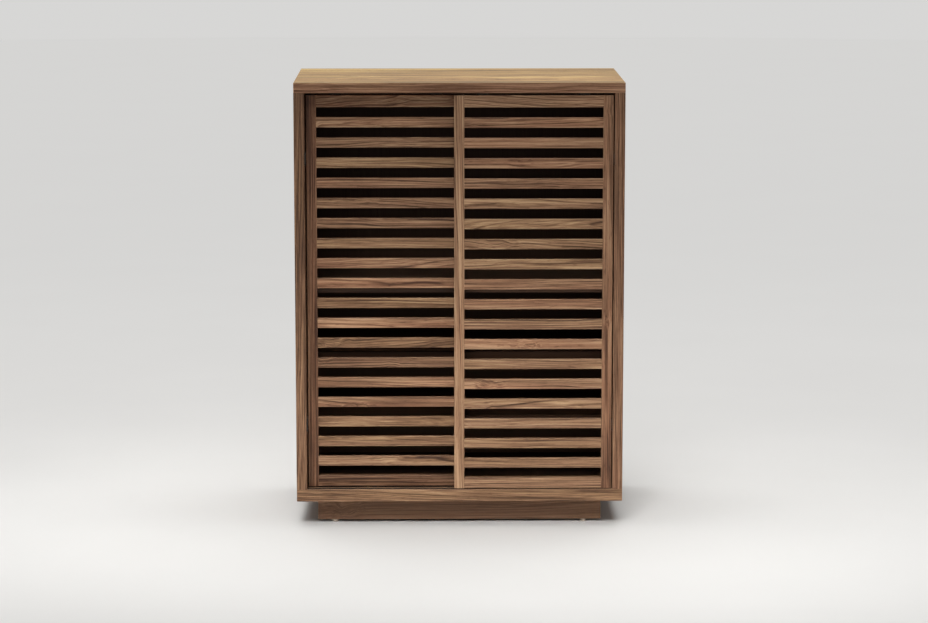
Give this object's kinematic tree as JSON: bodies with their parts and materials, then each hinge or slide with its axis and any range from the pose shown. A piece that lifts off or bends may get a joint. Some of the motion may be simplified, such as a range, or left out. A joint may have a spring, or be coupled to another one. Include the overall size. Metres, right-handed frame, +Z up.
{
  "type": "sliding slatted-door cabinet",
  "caption": "Tall walnut cabinet on a recessed plinth with horizontally slatted doors that slide past each other in front of shelves.",
  "frame": {"origin": "on the floor, under the middle of the cabinet's footprint", "axes": "+X to the right, -Y out of the front, +Z up"},
  "size_m": [0.8, 0.45, 1.092],
  "materials": {
    "walnut_top": "clear satin lacquer on walnut",
    "walnut_bottom": "clear satin lacquer on walnut",
    "walnut_side_left": "clear satin lacquer on walnut",
    "walnut_side_right": "clear satin lacquer on walnut",
    "walnut_shelf": "clear satin lacquer on walnut",
    "walnut_plinth": "clear satin lacquer on walnut",
    "walnut_stile": "clear satin lacquer on walnut",
    "walnut_rail": "clear satin lacquer on walnut",
    "walnut_slats": "clear satin lacquer on walnut",
    "back_board": "walnut veneered board, satin",
    "tenon_wood": "bare beech",
    "softwood": "bare softwood",
    "dark_track": "matte black",
    "black_nylon": "moulded, fine matte",
    "wheel_nylon": "turned nylon",
    "white_nylon": "moulded nylon",
    "axle_steel": "ground steel",
    "nickel_pins": "nickel plated",
    "bumper_rubber": "matte rubber"
  },
  "bodies": {
    "carcass": {"top_panel": "walnut_top", "bottom_panel": "walnut_bottom", "side_panel_left": "walnut_side_left", "side_panel_right": "walnut_side_right", "back_panel": "back_board", "middle_shelf": "walnut_shelf", "lower_loose_shelf": "walnut_shelf", "upper_loose_shelf": "walnut_shelf", "shelf_pins": "nickel_pins", "board_tenons": "tenon_wood", "front_bottom_track": "dark_track", "rear_bottom_track": "dark_track", "front_top_track": "dark_track", "rear_top_track": "dark_track", "door_bumpers": "bumper_rubber", "plinth_front": "walnut_plinth", "plinth_back": "walnut_plinth", "plinth_left": "walnut_plinth", "plinth_right": "walnut_plinth", "plinth_brace": "softwood", "plinth_corner_blocks": "softwood", "glides": "white_nylon"},
    "front_door": {"front_door_left_stile": "walnut_stile", "front_door_right_stile": "walnut_stile", "front_door_top_rail": "walnut_rail", "front_door_bottom_rail": "walnut_rail", "front_door_slats": "walnut_slats", "front_door_roller_housings": "black_nylon", "front_door_wheel_axles": "axle_steel", "front_door_top_guides": "black_nylon"},
    "front_door_left_wheel": {"front_door_left_wheel": "wheel_nylon"},
    "front_door_right_wheel": {"front_door_right_wheel": "wheel_nylon"},
    "rear_door": {"rear_door_left_stile": "walnut_stile", "rear_door_right_stile": "walnut_stile", "rear_door_top_rail": "walnut_rail", "rear_door_bottom_rail": "walnut_rail", "rear_door_slats": "walnut_slats", "rear_door_roller_housings": "black_nylon", "rear_door_wheel_axles": "axle_steel", "rear_door_top_guides": "black_nylon"},
    "rear_door_left_wheel": {"rear_door_left_wheel": "wheel_nylon"},
    "rear_door_right_wheel": {"rear_door_right_wheel": "wheel_nylon"}
  },
  "joints": [
    {"name": "front_door_slide", "type": "slide", "parent": "carcass", "child": "front_door", "axis": [-1, 0, 0], "range_m": [0, 0.359]},
    {"name": "front_door_left_wheel_turn", "type": "hinge", "parent": "front_door", "child": "front_door_left_wheel", "pos_m": [0.057, -0.212, 0.09805], "axis": [0, 1, 0], "range_deg": [-1871.93, 1]},
    {"name": "front_door_right_wheel_turn", "type": "hinge", "parent": "front_door", "child": "front_door_right_wheel", "pos_m": [0.302, -0.212, 0.09805], "axis": [0, 1, 0], "range_deg": [-1871.93, 1]},
    {"name": "rear_door_slide", "type": "slide", "parent": "carcass", "child": "rear_door", "axis": [1, 0, 0], "range_m": [0, 0.359]},
    {"name": "rear_door_left_wheel_turn", "type": "hinge", "parent": "rear_door", "child": "rear_door_left_wheel", "pos_m": [-0.302, -0.171, 0.09555], "axis": [0, 1, 0], "range_deg": [-1, 1871.93]},
    {"name": "rear_door_right_wheel_turn", "type": "hinge", "parent": "rear_door", "child": "rear_door_right_wheel", "pos_m": [-0.057, -0.171, 0.09555], "axis": [0, 1, 0], "range_deg": [-1, 1871.93]}
  ],
  "couplings": [
    {"joint": "front_door_left_wheel_turn", "follows": "front_door_slide", "rad_per_m": -90.909},
    {"joint": "front_door_right_wheel_turn", "follows": "front_door_slide", "rad_per_m": -90.909},
    {"joint": "rear_door_left_wheel_turn", "follows": "rear_door_slide", "rad_per_m": 90.909},
    {"joint": "rear_door_right_wheel_turn", "follows": "rear_door_slide", "rad_per_m": 90.909}
  ]
}
